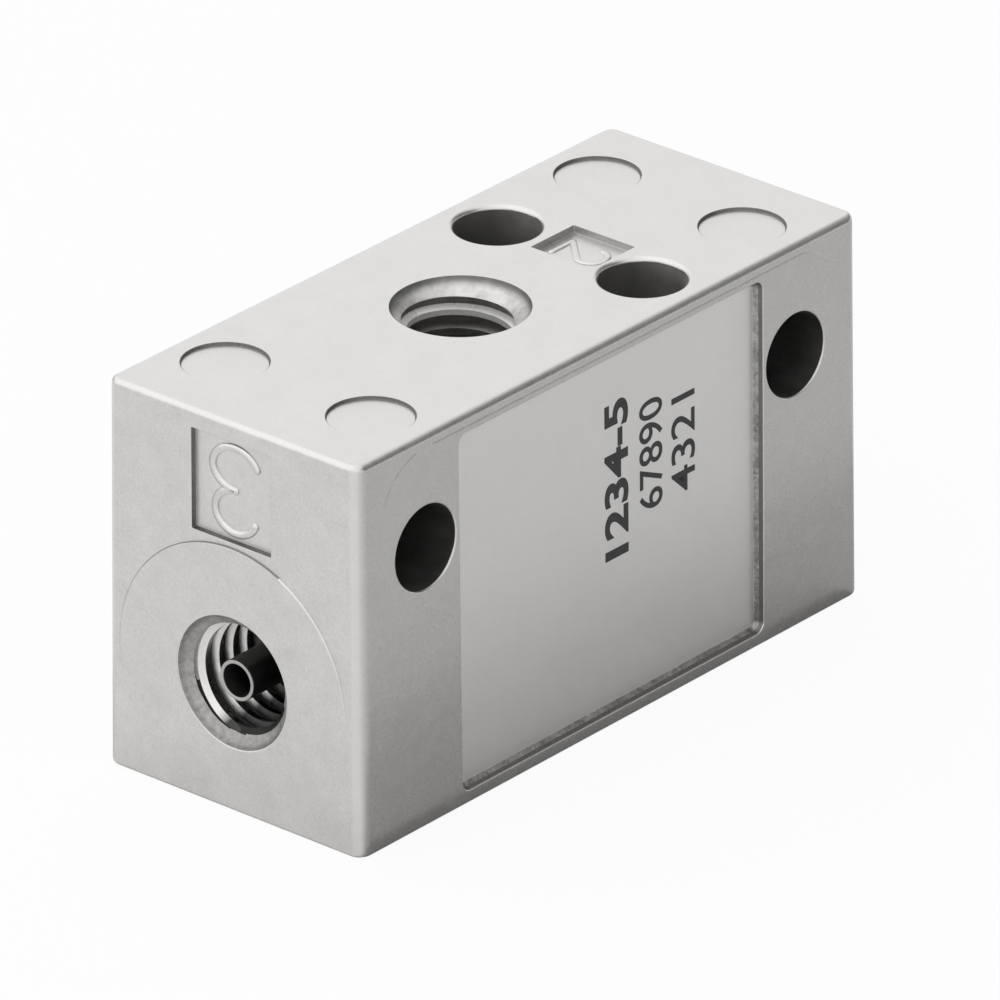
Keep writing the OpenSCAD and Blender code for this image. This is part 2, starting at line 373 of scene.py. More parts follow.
def cut_port(body, at):
    """Tapped port: drill, countersunk mouth and thread."""
    cut(body, bore_shape(PORT_D / 2, -PORT_DEPTH, 1), at)
    rim = MOUTH_R[-1] + MOUTH_FLARE
    cut(body, lathe([*zip(MOUTH_R, MOUTH_Z), (rim, 0.02), (rim, 1)]), at)
    cut(body, thread_shape(TAP_CORE_D / 2, THREAD_D / 2, THREAD_PITCH,
                           -THREAD_END, -THREAD_START), at)


def cut_air_passages(body):
    for at in (EXHAUST, SUPPLY):
        cut(body, bore_shape(COLLAR_D / 2 + COLLAR_GAP, -PORT_DEPTH - COLLAR_T, -PORT_DEPTH + 1),
            at)
    axis = place((0, 0, PORT_Z), (0, 1, 0), (0, 0, 1))
    cut(body, bore_shape(CHAMBER_D / 2, -SHOULDER_X - OVERLAP, CHAMBER_END_X), axis)
    cut(body, bore_shape(JET_BORE_D / 2, CHAMBER_END_X - OVERLAP, SHOULDER_X + OVERLAP), axis)
    cut(body, bore_shape(SUCTION_D / 2, PORT_Z - HEIGHT, -PORT_DEPTH + OVERLAP), VACUUM)


def cut_screw_holes(body):
    for x, through in zip((-1, 1), SIDE_HOLES):
        cut(body, bore_shape(HOLE_D / 2, -WIDTH, WIDTH), through)
        for side in (ON_FRONT, ON_BACK):
            spot = move(x * SIDE_PITCH / 2, SIDE_HOLE_Z / LEAN[1])
            cut(body, rim_shape(HOLE_D / 2, SIDE_RIM_R), side @ spot)
    for spot in UPRIGHT_HOLES:
        cut(body, bore_shape(HOLE_D / 2, -1, HEIGHT + 1), spot)
        cut(body, rim_shape(HOLE_D / 2, UPRIGHT_RIM_R), ON_TOP @ spot)


def build_housing():
    body = make("cast_housing", drafted_block())
    add_seats(body)
    for at in (EXHAUST, SUPPLY, VACUUM):
        cut_port(body, at)
    cut_air_passages(body)
    cut_screw_holes(body)
    for at in PANELS:
        cut(body, sunk_shape(PANEL_L / 2, PANEL_H / 2, PANEL_R, PANEL_DEPTH, *PANEL_WALL), at)
    for at in END_MARKS:
        cut(body, sunk_shape(END_MARK_W / 2, END_MARK_H / 2, MARK_R, END_MARK_DEPTH, *MARK_WALLS),
            at)
    cut(body, sunk_shape(TOP_MARK_L / 2, TOP_MARK_W / 2, MARK_R, TOP_MARK_DEPTH, *MARK_WALLS),
        TOP_MARK)
    for at in PIN_MARKS:
        cut(body, pin_mark_shape(), at)
    return body


# ---------------------------------------------------------------- nozzles
def rounded(profile, radius, steps=4):
    """A closed (radius, height) profile with its corners rounded."""
    out = []
    count = len(profile)
    for k in range(count):
        before, here, after = (np.array(profile[(k + d) % count], float) for d in (-1, 0, 1))
        to_b, to_a = before - here, after - here
        reach = min(radius, 0.4 * np.linalg.norm(to_b), 0.4 * np.linalg.norm(to_a))
        a = here + to_b / np.linalg.norm(to_b) * reach
        b = here + to_a / np.linalg.norm(to_a) * reach
        out += eased(a, here, b, np.linspace(0, 1, steps + 1))
    return out


def build_receiver():
    """Receiver nozzle, from its flared mouth through the collar to the tail tube's end."""
    seat = SHOULDER_X + RECEIVER_MOUTH_X
    tail = RECEIVER_MOUTH_X + SEAT_X - TAIL_INSET
    shank, collar = CHAMBER_D / 2 - NOZZLE_FIT, COLLAR_D / 2
    profile = [(RECEIVER_MOUTH_R, 0), (shank - RECEIVER_LEAD, 0), (shank, RECEIVER_LEAD),
               (shank, seat), (collar, seat), (collar, seat + COLLAR_T),
               (TAIL_OD / 2, seat + COLLAR_T), (TAIL_OD / 2, tail), (TAIL_ID / 2, tail),
               *((RECEIVER_THROAT_R, z) for z in reversed(RECEIVER_THROAT_Z))]
    at = place((RECEIVER_MOUTH_X, 0, PORT_Z), (0, -1, 0), (0, 0, 1))
    return make("steel_receiver", lathe(rounded(profile, NOZZLE_EDGE_R), closed=True), at)


def build_jet():
    """Jet nozzle, from its tip through the collar, and back through the feed and throat."""
    seat = SHOULDER_X - JET_TIP_X
    back = seat + COLLAR_T
    shank, collar = JET_BORE_D / 2 - NOZZLE_FIT, COLLAR_D / 2
    profile = [(JET_OUTLET_R, 0), (JET_TIP_R, 0), (shank, JET_TAPER), (shank, seat),
               (collar, seat), (collar, back), (JET_BACK_R, back),
               (JET_FEED_R, back - (JET_BACK_R - JET_FEED_R)), (JET_FEED_R, JET_FEED_Z),
               (JET_THROAT_R, JET_THROAT_Z)]
    at = place((JET_TIP_X, 0, PORT_Z), (0, 1, 0), (0, 0, 1))
    return make("brass_jet", lathe(rounded(profile, NOZZLE_EDGE_R), closed=True), at)


# ---------------------------------------------------------------- numerals, print and lines
def stroke(path, width, height, sunk=0.06, across=10, tip=5):
    """A raised line with a rounded back and rounded ends, along a path in the XY plane."""
    path = np.array(path, float)
    tangent = np.gradient(path, axis=0)
    tangent /= np.linalg.norm(tangent, axis=1)[:, None]
    end_turns = np.linspace(0.15, math.pi / 2, tip)
    reach = width / 2
    stations = [(path[0] - tangent[0] * reach * math.cos(t), tangent[0], math.sin(t))
                for t in end_turns]
    stations += [(p, d, 1.0) for p, d in zip(path[1:-1], tangent[1:-1])]
    stations += [(path[-1] + tangent[-1] * reach * math.cos(t), tangent[-1], math.sin(t))
                 for t in reversed(end_turns)]
    rings = []
    for p, d, scale in stations:
        side = np.array([d[1], -d[0]]) * reach * scale
        ring = [(*(p - side * math.cos(a)), height * scale * math.sin(a))
                for a in np.linspace(0, math.pi, across)]
        rings.append(np.array(ring + [(*(p + side), -sunk), (*(p - side), -sunk)]))
    return skin(rings)


def bow(cx, cy, rx, ry, start, end, steps=28):
    """Points on an ellipse's arc between two angles in degrees."""
    a = np.radians(np.linspace(start, end, steps))
    return np.stack([cx + rx * np.cos(a), cy + ry * np.sin(a)], 1)


def straight(a, b, steps=6):
    return np.linspace(np.array(a), np.array(b), steps)


def joined(*parts):
    """Joins lines and bows into one path, without doubled points."""
    points = [parts[0][0]]
    for part in parts:
        points += [p for p in part if np.linalg.norm(p - points[-1]) > 1e-4]
    return np.array(points)


# Strokes of three digits in a cell of width 0.62 and height 1, centred on the origin.
DIGITS = {
    1: [straight((-0.2, 0.26), (0.06, 0.5)),
        straight((0.06, 0.5), (0.06, -0.5))],
    2: [joined(bow(0, 0.22, 0.3, 0.28, 175, -35), straight((0.246, 0.06), (-0.3, -0.5))),
        straight((-0.3, -0.5), (0.31, -0.5))],
    3: [bow(-0.02, 0.25, 0.29, 0.25, 160, -90),
        bow(-0.02, -0.25, 0.32, 0.25, 90, -160)],
}


def build_digit(name, digit, size, width, height, at):
    """A raised numeral cast in the floor of its recess."""
    shapes = [stroke(path * size, width, height) for path in DIGITS[digit]]
    points = np.concatenate([s[0] for s in shapes])
    faces, shift = [], 0
    for p, f in shapes:
        faces += [tuple(v + shift for v in face) for face in f]
        shift += len(p)
    return make(name, (points, faces), at)


def build_print(name, text, baseline, start, height, length, weight):
    """Plain digits printed up the sunk panel of the -Y side, read from below upward."""
    words = bpy.data.curves.new(name, "FONT")
    words.body, words.size, words.offset = text, 1.0, weight
    words.extrude = 0.01
    holder = bpy.data.objects.new(name, words)
    bpy.context.scene.collection.objects.link(holder)
    depsgraph = bpy.context.evaluated_depsgraph_get()
    mesh = bpy.data.meshes.new_from_object(holder.evaluated_get(depsgraph))
    points = np.array([v.co for v in mesh.vertices])
    faces = [tuple(p.vertices) for p in mesh.polygons]
    bpy.data.objects.remove(holder)
    points -= points.min(0)
    points *= np.array([length, height, INK_T]) / points.max(0)
    laid = np.stack([baseline - points[:, 1], start + points[:, 0],
                     points[:, 2] - PANEL_DEPTH - INK_T / 4], 1)
    return make(name, (laid, faces), ON_FRONT)


# ---------------------------------------------------------------- materials
MIDDLE_COARSER = 4.5            # the middle noise's size over the grain's
MIDDLE_RELIEF = 1.6             # the middle noise's share of the relief over the grain's
SHADE_SPAN = (0.3, 0.7)         # noise below and above which a finish is all dark or all light
SIDE_FACING = (0.68, 0.985)     # how far a normal lies along Y where the sides' finish begins,
END_FACING = (0.93, 0.995)      # and is full, and the same along X for the ends


class Nodes:
    """A short way to wire a material's nodes."""

    def __init__(self, tree):
        self.tree = tree
        tree.nodes.clear()

    def new(self, kind, inputs=None, **settings):
        node = self.tree.nodes.new(kind)
        for key, value in settings.items():
            setattr(node, key, value)
        for key, value in (inputs or {}).items():
            if isinstance(value, bpy.types.NodeSocket):
                self.tree.links.new(value, node.inputs[key])
            else:
                node.inputs[key].default_value = value
        return node

    def noise(self, where, scale, detail=3.0, roughness=0.55):
        return self.new("ShaderNodeTexNoise", {"Vector": where, "Scale": scale, "Detail": detail,
                                               "Roughness": roughness}).outputs["Fac"]

    def span(self, value, low, high, start=0.25, end=0.75):
        """Maps a noise onto a range."""
        return self.new("ShaderNodeMapRange", {"Value": value, "From Min": start, "From Max": end,
                                               "To Min": low, "To Max": high}).outputs["Result"]

    def math(self, operation, a, b):
        return self.new("ShaderNodeMath", {0: a, 1: b}, operation=operation).outputs[0]

    def mix(self, kind, factor, a, b):
        node = self.new("ShaderNodeMix", data_type=kind)
        for key, value in (("Factor", factor), ("A", a), ("B", b)):
            socket = next(i for i in node.inputs if i.name == key and i.enabled)
            if isinstance(value, bpy.types.NodeSocket):
                self.tree.links.new(value, socket)
            else:
                socket.default_value = value
        return next(o for o in node.outputs if o.enabled)


def new_material(name):
    material = bpy.data.materials.new(name)
    material.use_nodes = True
    return material, Nodes(material.node_tree)


def skin_noise(n, where, grain, grain_scale, blotch_scale):
    """A skin's shade, from grain and blotches, then its middle noise and its relief."""
    fine = n.noise(where, grain_scale, 4.0, 0.6)
    middle = n.noise(where, grain_scale / MIDDLE_COARSER, 3.0)
    blotch = n.noise(where, blotch_scale, 4.0)
    rest = (1 - grain) * 0.5
    mixed = n.math("ADD", n.math("MULTIPLY", fine, grain),
                   n.math("ADD", n.math("MULTIPLY", middle, rest),
                          n.math("MULTIPLY", blotch, rest)))
    relief = n.math("ADD", fine, n.math("MULTIPLY", middle, MIDDLE_RELIEF))
    return n.span(mixed, 0.0, 1.0, *SHADE_SPAN), middle, relief


def end_in_metal(n, colour, rough, distance, height, metallic=1.0):
    """Closes a material with a metal surface and its relief."""
    normal = n.new("ShaderNodeBump", {"Strength": 1.0, "Distance": distance, "Height": height})
    shader = n.new("ShaderNodeBsdfPrincipled", {
        "Base Color": colour, "Metallic": metallic, "Roughness": rough,
        "Normal": normal.outputs["Normal"]})
    n.new("ShaderNodeOutputMaterial", {"Surface": shader.outputs[0]})


def metal(name, dark, light, rough, grain, grain_scale, bump, metallic=1.0, blotch_scale=350.0,
          painted_shade=None):
    """Metal whose colour, roughness and grain vary over the surface. Where its normal turns
    along a direction its colour may darken as painted shade: (direction, start, full, share
    kept)."""
    material, n = new_material(name)
    coordinates = n.new("ShaderNodeTexCoord")
    shade, middle, relief = skin_noise(n, coordinates.outputs["Object"], grain, grain_scale,
                                       blotch_scale)
    colour = n.mix("RGBA", shade, (*dark, 1), (*light, 1))
    # Painted shade: darker where the normal turns along the given direction
    if painted_shade:
        direction, start, full, share = painted_shade
        turned = n.new("ShaderNodeVectorMath", {0: coordinates.outputs["Normal"],
                                                1: Vector(direction).normalized()},
                       operation="DOT_PRODUCT").outputs["Value"]
        colour = n.new("ShaderNodeVectorMath", {0: colour,
                                                "Scale": n.span(turned, 1.0, share, start, full)},
                       operation="SCALE").outputs["Vector"]
    end_in_metal(n, colour, n.span(middle, *rough), bump * MM, relief, metallic)
    return material


def cast_skin(name, top, side, end, grain=0.5, grain_scale=8000.0, blotch_scale=600.0):
    """The cast skin. Top, side and end each have a finish of their own, as (dark, light, (low and
    high roughness), bump), and they run into each other round the edges. Their colours paint
    shade:
    the sides are darker than the top, the ends a little darker, by how each face is lit."""
    material, n = new_material(name)
    coordinates = n.new("ShaderNodeTexCoord")
    shade, middle, relief = skin_noise(n, coordinates.outputs["Object"], grain, grain_scale,
                                       blotch_scale)
    facing = n.new("ShaderNodeSeparateXYZ", {"Vector": coordinates.outputs["Normal"]})
    is_side, is_end = (n.span(n.math("ABSOLUTE", facing.outputs[axis], 0.0), 0.0, 1.0, *span)
                       for axis, span in (("Y", SIDE_FACING), ("X", END_FACING)))

    def faced(kind, values):
        return n.mix(kind, is_end, n.mix(kind, is_side, values[0], values[1]), values[2])

    parts = (top, side, end)
    colour = n.mix("RGBA", shade, faced("RGBA", [(*dark, 1) for dark, _, _, _ in parts]),
                   faced("RGBA", [(*light, 1) for _, light, _, _ in parts]))
    rough = n.mix("FLOAT", n.span(middle, 0.0, 1.0), faced("FLOAT", [p[2][0] for p in parts]),
                  faced("FLOAT", [p[2][1] for p in parts]))
    height = n.math("MULTIPLY", relief, faced("FLOAT", [bump for _, _, _, bump in parts]))
    end_in_metal(n, colour, rough, MM, height)
    return material


# Painted shade: the side colours are darker than the top's, the end colours a little darker
cast_alloy = cast_skin("cast_alloy",
                       top=((0.695, 0.684, 0.672), (0.775, 0.764, 0.752), (0.30, 0.38), 0.0022),
                       side=((0.465, 0.458, 0.449), (0.54, 0.532, 0.523), (0.24, 0.30), 0.0025),
                       end=((0.59, 0.58, 0.565), (0.76, 0.75, 0.735), (0.32, 0.46), 0.008))
# Finishes and painted shades in the order of the zones. Each has its dark and light colour, its
# roughness, and the grain's share, scale and height.
ZONE_FINISHES_AND_SHADES = {
    CAST: cast_alloy,
    PANEL: metal("panel", (0.655, 0.647, 0.638), (0.71, 0.701, 0.692), (0.34, 0.42),
                 0.4, 9000.0, 0.0025),
    # Painted shade: the dark upper part of recess walls
    WALL_PAINTED_SHADE: metal("recess_wall_painted_shade", (0.14, 0.137, 0.133), (0.24, 0.235, 0.23), (0.40, 0.5),
                0.5, 9000.0, 0.004),
    # Painted shade: the lower part of a panel's walls, lighter than above
    WALL_LOW_PAINTED_SHADE: metal("recess_wall_low_painted_shade", (0.12, 0.117, 0.113), (0.60, 0.59, 0.58), (0.25, 0.40),
                    0.5, 6000.0, 0.03, blotch_scale=1200.0),
    MARK: metal("recess_floor", (0.62, 0.61, 0.597), (0.76, 0.75, 0.735), (0.36, 0.46),
                0.5, 8000.0, 0.005),
    # Painted shade on the walls of the top mark's recess
    MARK_WALL_PAINTED_SHADE: metal("mark_wall_painted_shade", (0.36, 0.352, 0.343), (0.56, 0.55, 0.54), (0.4, 0.5),
                     0.5, 9000.0, 0.004),
    # Painted shade on a stretch of an end port's seat edge
    RING_PAINTED_SHADE: metal("ring_edge_painted_shade", (0.22, 0.216, 0.21), (0.34, 0.333, 0.325), (0.4, 0.5),
                     0.5, 9000.0, 0.004),
    SINK: metal("countersink", (0.26, 0.254, 0.247), (0.54, 0.53, 0.52), (0.45, 0.6),
                0.6, 4500.0, 0.02, blotch_scale=1500.0),
    # The vacuum port's countersink, lighter than the end ports', darkened as painted shade where
    # it turns steep
    SINK_UP: metal("countersink_up", (0.34, 0.333, 0.325), (0.88, 0.87, 0.858), (0.34, 0.50),
                   0.35, 2600.0, 0.012, metallic=0.85, blotch_scale=700.0,
                   painted_shade=((0, 0, -1), -0.80, -0.45, 0.30)),
    # Its colour is darkened as painted shade on one side of the end ports
    CREST: metal("thread_crest", (0.70, 0.69, 0.675), (0.86, 0.85, 0.835), (0.25, 0.35),
                 0.4, 6000.0, 0.006, painted_shade=((0, 0.951, 0.309), -0.10, 0.06, 0.08)),
    # Painted light: whiter and half diffuse, so the vacuum port's crests and upward flanks show
    # bright
    CREST_UP_PAINTED_LIGHT: metal("thread_crest_up_painted_light", (0.80, 0.79, 0.775), (1.0, 0.99, 0.975), (0.25, 0.35),
                    0.5, 6000.0, 0.008, metallic=0.45),
    # Painted shade in the end ports' thread: roots, hidden flanks and deep crests
    ROOT_PAINTED_SHADE: metal("thread_root_painted_shade", (0.10, 0.097, 0.093), (0.17, 0.165, 0.16), (0.35, 0.5),
                0.4, 6000.0, 0.003),
    # Painted shade over the vacuum port's thread, lighter than the end ports'
    ROOT_UP_PAINTED_SHADE: metal("thread_root_up_painted_shade", (0.26, 0.254, 0.247), (0.42, 0.41, 0.40), (0.35, 0.5),
                   0.4, 6000.0, 0.006),
    # Painted shade, near black, on stretches of the end ports' first groove and countersink foot
    PORT_PAINTED_SHADE: metal("port_shade", (0.02, 0.02, 0.019), (0.05, 0.049, 0.048), (0.35, 0.5),
                0.4, 6000.0, 0.003),
    # Painted shade on the walls of the inner bores and the side holes
    BORE_PAINTED_SHADE: metal("bore_painted_shade", (0.14, 0.135, 0.13), (0.22, 0.215, 0.21), (0.45, 0.6),
                0.3, 4000.0, 0.004),
    # Painted shade: the upright holes' walls, darker than the cast skin and darker still on one
    # side
    UPRIGHT: metal("upright_bore_painted_shade", (0.44, 0.43, 0.42), (0.56, 0.55, 0.54), (0.50, 0.62),
                   0.3, 4000.0, 0.002, painted_shade=((0.65, -0.76, 0), -0.6, 0.2, 0.5)),
}
brass = metal("turned_brass", (0.70, 0.52, 0.22), (0.82, 0.66, 0.34), (0.18, 0.3),
              0.3, 4000.0, 0.001)
steel = metal("turned_steel", (0.15, 0.147, 0.143), (0.21, 0.206, 0.20), (0.28, 0.4),
              0.3, 4000.0, 0.002)
bright_steel = metal("turned_rim", (0.38, 0.373, 0.365), (0.52, 0.51, 0.50), (0.2, 0.3),
                     0.3, 4000.0, 0.001)
ink = metal("ink", (0.012, 0.012, 0.013), (0.03, 0.03, 0.031), (0.5, 0.65),
            0.5, 9000.0, 0.003, metallic=0.0)
seam = metal("seam", (0.24, 0.235, 0.23), (0.62, 0.61, 0.60), (0.4, 0.5),
             0.3, 4000.0, 0.01, blotch_scale=1200.0)


def finish(obj, *materials, angle=28):
    """Puts a built piece on the part: metres, materials, smooth faces with crisp edges."""
    mesh = obj.data
    mesh.transform(Matrix.Scale(MM, 4))
    mesh.materials.clear()
    for m in materials:
        mesh.materials.append(m)
    mesh.polygons.foreach_set("use_smooth", [True] * len(mesh.polygons))
    mesh.set_sharp_from_angle(angle=math.radians(angle))
    weighted = obj.modifiers.new("even_shading", "WEIGHTED_NORMAL")
    weighted.keep_sharp = True
    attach(obj, "root")
    return obj


# ---------------------------------------------------------------- zones of the housing
class Faces:
    """Where a mesh's faces lie, in mm, which way they face, and the zone each belongs to."""

    def __init__(self, mesh):
        count = len(mesh.polygons)
        centre, normal = np.empty(count * 3), np.empty(count * 3)
        mesh.polygons.foreach_get("center", centre)
        mesh.polygons.foreach_get("normal", normal)
        self.centre, self.normal = centre.reshape(-1, 3) / MM, normal.reshape(-1, 3)
        self.zone = np.full(count, CAST)

    def seen_from(self, at):
        """Centres and normals in the axes of a place on the part."""
        turn = np.array(at.inverted())
        return self.centre @ turn[:3, :3].T + turn[:3, 3], self.normal @ turn[:3, :3].T


def zone_recess(faces, at, length, width, depth, floor_zone, wall_zone):
    """Floor and walls of a recess, whose walls get painted shade. A panel's walls are cast skin
    at the rim, painted dark shade below it and a lighter painted shade low down, and have no
    single zone."""
    p, d = faces.seen_from(at)
    inside = np.abs(p[:, 0]) < length / 2 + RECESS_MARGIN
    inside &= np.abs(p[:, 1]) < width / 2 + RECESS_MARGIN
    inside &= (p[:, 2] < -0.004) & (p[:, 2] > -depth - 0.02)
    if wall_zone is None:
        # Painted shade on the walls: lighter low down, darker above, cast skin at the rim
        wall = np.where(p[:, 2] < -PANEL_SHADE_SPLIT * depth, WALL_LOW_PAINTED_SHADE, WALL_PAINTED_SHADE)
        wall[p[:, 2] > PANEL_RIM_Z] = CAST
    else:
        wall = np.full(len(p), wall_zone)
    faces.zone[inside] = np.where(d[inside, 2] > FLOOR_UP, floor_zone, wall[inside])


def zone_port(faces, at):
    """Root, crest, countersink and inner bore of a port. On an end port a stretch of the first
    groove, of the countersink's foot and of the seat's edge is painted dark as shade."""
    p, d = faces.seen_from(at)
    r, z, upward = np.hypot(p[:, 0], p[:, 1]), p[:, 2], d[:, 2]
    turn = np.degrees(np.arctan2(p[:, 1], p[:, 0]))

    def between(start, end):
        return (turn > start) & (turn < end)

    # All that lies inside the rim, without the flat face round it
    port = (r < MOUTH_R[-1] + 0.015) & (z < 0.04) & (z > -PORT_DEPTH - 0.01)
    port &= (upward < FLAT_UP) | (z < -1)
    lit = port & (z > LIT_Z)
    # The countersink, which follows its own profile, and the rim
    mouth = port & (z > MOUTH_Z[0] + 0.01)
    mouth &= (np.abs(r - np.interp(z, MOUTH_Z, MOUTH_R)) < 0.012) | (z > -0.02)
    flank = upward > FLANK_UP
    # The port's faces start in painted shade; crests and upward flanks are set apart after
    if at is VACUUM:
        faces.zone[port] = ROOT_UP_PAINTED_SHADE
        first_turn = z - THREAD_PITCH * turn / 360 > FIRST_TURN_Z
        crest = np.where(first_turn, r < THREAD_MID, (r < THIN_CREST_R) & flank)
        faces.zone[lit & crest] = CREST_UP_PAINTED_LIGHT
        faces.zone[mouth] = SINK_UP
    else:
        faces.zone[port] = ROOT_PAINTED_SHADE
        root = r > THREAD_MID + 0.01
        faces.zone[lit & ~root & (flank | (r < CREST_R))] = CREST
        groove = port & (z > GROOVE_Z) & root
        faces.zone[groove] = SINK
        faces.zone[groove & between(*GROOVE_PAINTED_SHADE)] = PORT_PAINTED_SHADE
        faces.zone[mouth] = SINK
        faces.zone[mouth & (r < MOUTH_PAINTED_SHADE_R) & between(*MOUTH_PAINTED_SHADE)] = PORT_PAINTED_SHADE
        # A stretch of the seat's edge gets painted shade
        seat_edge = (np.abs(r - SEAT_D / 2) < 0.1) & (np.abs(z + 0.05) < 0.15) & (upward < 0.98)
        faces.zone[seat_edge & between(*SEAT_EDGE_PAINTED_SHADE)] = RING_PAINTED_SHADE
    faces.zone[(r < COLLAR_D / 2 + 0.1) & (z < -PORT_DEPTH) & (z > -14)] = BORE_PAINTED_SHADE


def zone_hole(faces, at, bore_zone):
    p, d = faces.seen_from(at)
    wall = (np.abs(d[:, 2]) < 0.2) & (np.hypot(p[:, 0], p[:, 1]) < HOLE_D / 2 + 0.001)
    faces.zone[wall] = bore_zone


def zone_housing(mesh):
    """Gives each face of the finished housing its zone's finish, painted shade for many zones."""
    faces = Faces(mesh)
    for at in PANELS:
        zone_recess(faces, at, PANEL_L, PANEL_H, PANEL_DEPTH, PANEL, None)
    for at in END_MARKS:
        zone_recess(faces, at, END_MARK_W, END_MARK_H, END_MARK_DEPTH, MARK, WALL_PAINTED_SHADE)
    zone_recess(faces, TOP_MARK, TOP_MARK_L, TOP_MARK_W, TOP_MARK_DEPTH, CAST, MARK_WALL_PAINTED_SHADE)
    for at in PIN_MARKS:
        zone_recess(faces, at, PIN_MARK_D, PIN_MARK_D, PIN_MARK_DEPTH, CAST, WALL_PAINTED_SHADE)
    for at in (EXHAUST, SUPPLY, VACUUM):
        zone_port(faces, at)
    for at in SIDE_HOLES:
        zone_hole(faces, at, BORE_PAINTED_SHADE)
    for at in UPRIGHT_HOLES:
        zone_hole(faces, at, UPRIGHT)
    mesh.polygons.foreach_set("material_index", faces.zone)


# ---------------------------------------------------------------- the part
housing = finish(build_housing(), *ZONE_FINISHES_AND_SHADES.values())
zone_housing(housing.data)
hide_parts("housing")

receiver = finish(build_receiver(), steel, bright_steel)
for face in receiver.data.polygons:   # the tail tube's end is lighter than its sides
    if face.center.x / MM < -SEAT_X + TAIL_INSET + 0.02 and abs(face.normal.x) > 0.35:
        face.material_index = 1
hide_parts("receiver_nozzle")

jet = finish(build_jet(), brass)
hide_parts("jet_nozzle")

# Numerals stand upside down, as seen with the vacuum port on top
upside_down = Matrix.Rotation(math.pi, 4, "Z")
in_end = move(0, END_MARK_Z, -END_MARK_DEPTH) @ upside_down
in_top = move(TOP_MARK_X, TOP_MARK_Y, -TOP_MARK_DEPTH) @ upside_down
for name, digit, size, width, height, at in (
        ("exhaust_digit", 3, 3.6, 0.34, 0.11, ON_LEFT @ in_end),
        ("supply_digit", 1, 3.6, 0.34, 0.11, ON_RIGHT @ in_end),
        ("vacuum_digit", 2, 2.1, 0.3, 0.07, ON_TOP @ in_top)):
    finish(build_digit(name, digit, size, width, height, at), cast_alloy)

for name, text, baseline, start, height, length, weight in (
        ("print_large", "1234-5", 1.3, 6.9, 1.42, 6.7, 0.03),
        ("print_middle", "67890", 3.34, 8.2, 1.38, 4.7, 0.006),
        ("print_right", "4321", 5.3, 8.2, 1.42, 4.2, 0.006)):
    finish(build_print(name, text, baseline, start, height, length, weight), ink)

# Hairline round the side's insert of the mould: clear along the top, faint at its far corner
clear_line = joined(straight((-10.6, 15.97), (11.1, 15.97), 40),
                    bow(11.1, 13.6, 2.4, 2.37, 90, 40, 12)[1:])
faint_line = bow(-11.1, 13.6, 2.4, 2.37, 160, 100, 14)
for name, side in (("insert_line_front", ON_FRONT), ("insert_line_back", ON_BACK)):
    for part, path, height, material in (("", clear_line, 0.022, cast_alloy),
                                         ("_end", faint_line, 0.008, seam)):
        line = make(name + part, stroke(path, LINE_W, height, LINE_SUNK), side)
        finish(line, material)


# ---------------------------------------------------------------- camera
AZIMUTH, ELEVATION, ROLL = (math.radians(a) for a in (-49.422, 26.247, -0.231))
DISTANCE, AIM = 578.47, np.array([0.778, 0.0, 7.342])
SENSOR, LENS = 36.0, 537.15


def aim_camera():
    """The photo's own view, as fitted to the block's edges and holes."""
    back = np.array([math.sin(AZIMUTH) * math.cos(ELEVATION),
                     -math.cos(AZIMUTH) * math.cos(ELEVATION), math.sin(ELEVATION)])
    level = np.array([math.cos(AZIMUTH), math.sin(AZIMUTH), 0.0])
    rise = np.cross(back, level)
    right = level * math.cos(ROLL) + rise * math.sin(ROLL)
    up = rise * math.cos(ROLL) - level * math.sin(ROLL)
    placed = Matrix((right, up, back)).transposed().to_4x4()
    placed.translation = (AIM + back * DISTANCE) * MM
    camera = bpy.data.objects.new("camera", bpy.data.cameras.new("camera"))
    bpy.context.scene.collection.objects.link(camera)
    camera.data.sensor_width, camera.data.lens = SENSOR, LENS
    camera.data.clip_start, camera.data.clip_end = 0.01, 100.0
    camera.matrix_world = placed
    bpy.context.scene.camera = camera


aim_camera()
bpy.context.scene.view_settings.view_transform = "Standard"

# ---------------------------------------------------------------- floor and light
SKY_LIGHT, SKY_SHOWN = 0.88, 1.0             # the sky's strength as a lamp, and as it is seen
FLOOR_GLOW, FLOOR_GLOW_MIRRORED = 0.92, 0.05   # share of plain white in the floor as it is seen


def light_sky():
    """An even white sky, at full strength only where the camera or a reflection sees it."""
    world = bpy.data.worlds.new("studio")
    bpy.context.scene.world = world
    world.use_nodes = True
    n = Nodes(world.node_tree)
    path = n.new("ShaderNodeLightPath")
    shown = n.math("MAXIMUM", path.outputs["Is Camera Ray"], path.outputs["Is Glossy Ray"])
    shown = n.math("MAXIMUM", shown, path.outputs["Is Transmission Ray"])
    strength = n.new("ShaderNodeMapRange", {"Value": shown, "To Min": SKY_LIGHT,
                                            "To Max": SKY_SHOWN})
    sky = n.new("ShaderNodeBackground", {"Color": (1, 1, 1, 1),
                                         "Strength": strength.outputs["Result"]})
    n.new("ShaderNodeOutputWorld", {"Surface": sky.outputs[0]})


def studio_piece(name, shape, material):
    """A floor or card, in metres."""
    obj = make(name, shape)
    obj.data.materials.append(material)
    obj.data.transform(Matrix.Scale(MM, 4))
    return obj


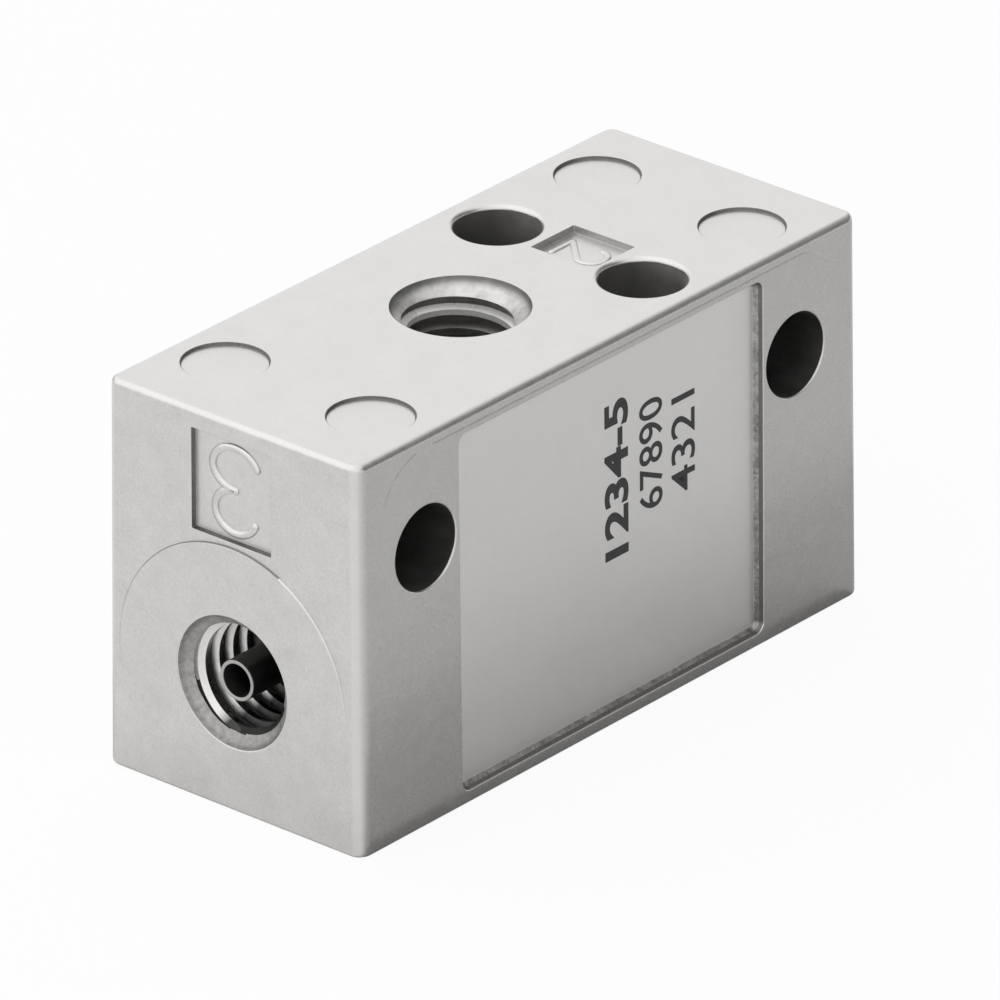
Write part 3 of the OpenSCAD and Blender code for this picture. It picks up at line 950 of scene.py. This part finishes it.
def lay_floor():
    """A wide white floor, which keeps a little of its shading where the camera sees it."""
    paper, n = new_material("paper")
    plain = n.new("ShaderNodeBsdfDiffuse", {"Color": (0.92, 0.92, 0.92, 1)})
    glow = n.new("ShaderNodeEmission", {"Color": (1, 1, 1, 1), "Strength": 1.0})
    path = n.new("ShaderNodeLightPath")
    direct = n.math("MAXIMUM", path.outputs["Is Camera Ray"], path.outputs["Is Transmission Ray"])
    lift = n.math("MAXIMUM", n.math("MULTIPLY", direct, FLOOR_GLOW),
                  n.math("MULTIPLY", path.outputs["Is Glossy Ray"], FLOOR_GLOW_MIRRORED))
    mix = n.new("ShaderNodeMixShader", {"Fac": lift, 1: plain.outputs[0], 2: glow.outputs[0]})
    n.new("ShaderNodeOutputMaterial", {"Surface": mix.outputs[0]})
    outlines = [rounded_rectangle(1500, 1500, 100, z) for z in (-5.0, 0.0)]
    studio_piece("floor", skin(outlines), paper)


def face_part(obj, direction, distance):
    """Sets a lamp or card at a distance from the part's middle, turned to face it."""
    toward = Vector(direction).normalized()
    obj.location = (toward * distance + Vector((0, 0, HEIGHT / 2))) * MM
    obj.rotation_mode = "QUATERNION"
    obj.rotation_quaternion = toward.to_track_quat("Z", "Y")


def softbox(name, direction, distance, size, power):
    """A square lamp that faces the part from a direction."""
    lamp = bpy.data.objects.new(name, bpy.data.lights.new(name, "AREA"))
    lamp.data.size = size * MM
    lamp.data.energy = power
    face_part(lamp, direction, distance)
    bpy.context.scene.collection.objects.link(lamp)


def matt_grey(name, shade):
    material, n = new_material(name)
    grey = n.new("ShaderNodeBsdfDiffuse", {"Color": (shade, shade, shade, 1)})
    n.new("ShaderNodeOutputMaterial", {"Surface": grey.outputs[0]})
    return material


def flag(name, direction, distance, width, height, shade):
    """A card out of the camera's sight that darkens what the metal reflects."""
    outline = rounded_rectangle(width / 2, height / 2, 10, 0)
    card = studio_piece(name, skin([outline, outline + [0, 0, 1.0]]), matt_grey(name, shade))
    face_part(card, direction, distance)
    card.visible_camera = False


def painted_shadow_card(name, x_from, x_to, y_reach, shade, z=0.04):
    """Painted shadow: a darker sheet on the floor round the foot, which only the metal's
    reflections see.
    """
    hx, x = (x_to - x_from) / 2, (x_to + x_from) / 2
    outlines = [rounded_rectangle(hx, y_reach, 0.3, h) + [x, 0, 0] for h in (z, z + 0.01)]
    card = studio_piece(name, skin(outlines), matt_grey(name, shade))
    card.visible_camera = card.visible_diffuse = card.visible_shadow = False


light_sky()
lay_floor()
softbox("key", (-0.40, 0.48, 0.78), distance=320, size=600, power=0.26)
softbox("fill", (-0.8, -0.45, 0.5), distance=350, size=400, power=0.05)
# What the long top edge mirrors, then what the back of the holes and the end's bands mirror
flag("front_flag", (0.68, -0.50, 0.52), distance=200, width=360, height=150, shade=0.25)
flag("back_flag", (0.12, 1.0, 0.0), distance=250, width=240, height=60, shade=0.05)
# Sheets of painted shadow on the floor, seen only in the metal's reflections
painted_shadow_card("painted_contact_shadow_sides", -LENGTH / 2 + 0.3, LENGTH / 2 - 0.3, WIDTH / 2 + 0.8, 0.45)
painted_shadow_card("painted_contact_shadow_end", -LENGTH / 2 - 2.8, -LENGTH / 2 - 0.2, WIDTH / 2 + 0.5, 0.88)
painted_shadow_card("floor_shade", -LENGTH / 2, LENGTH / 2 + 12, WIDTH / 2 + 8, 0.70, z=0.02)
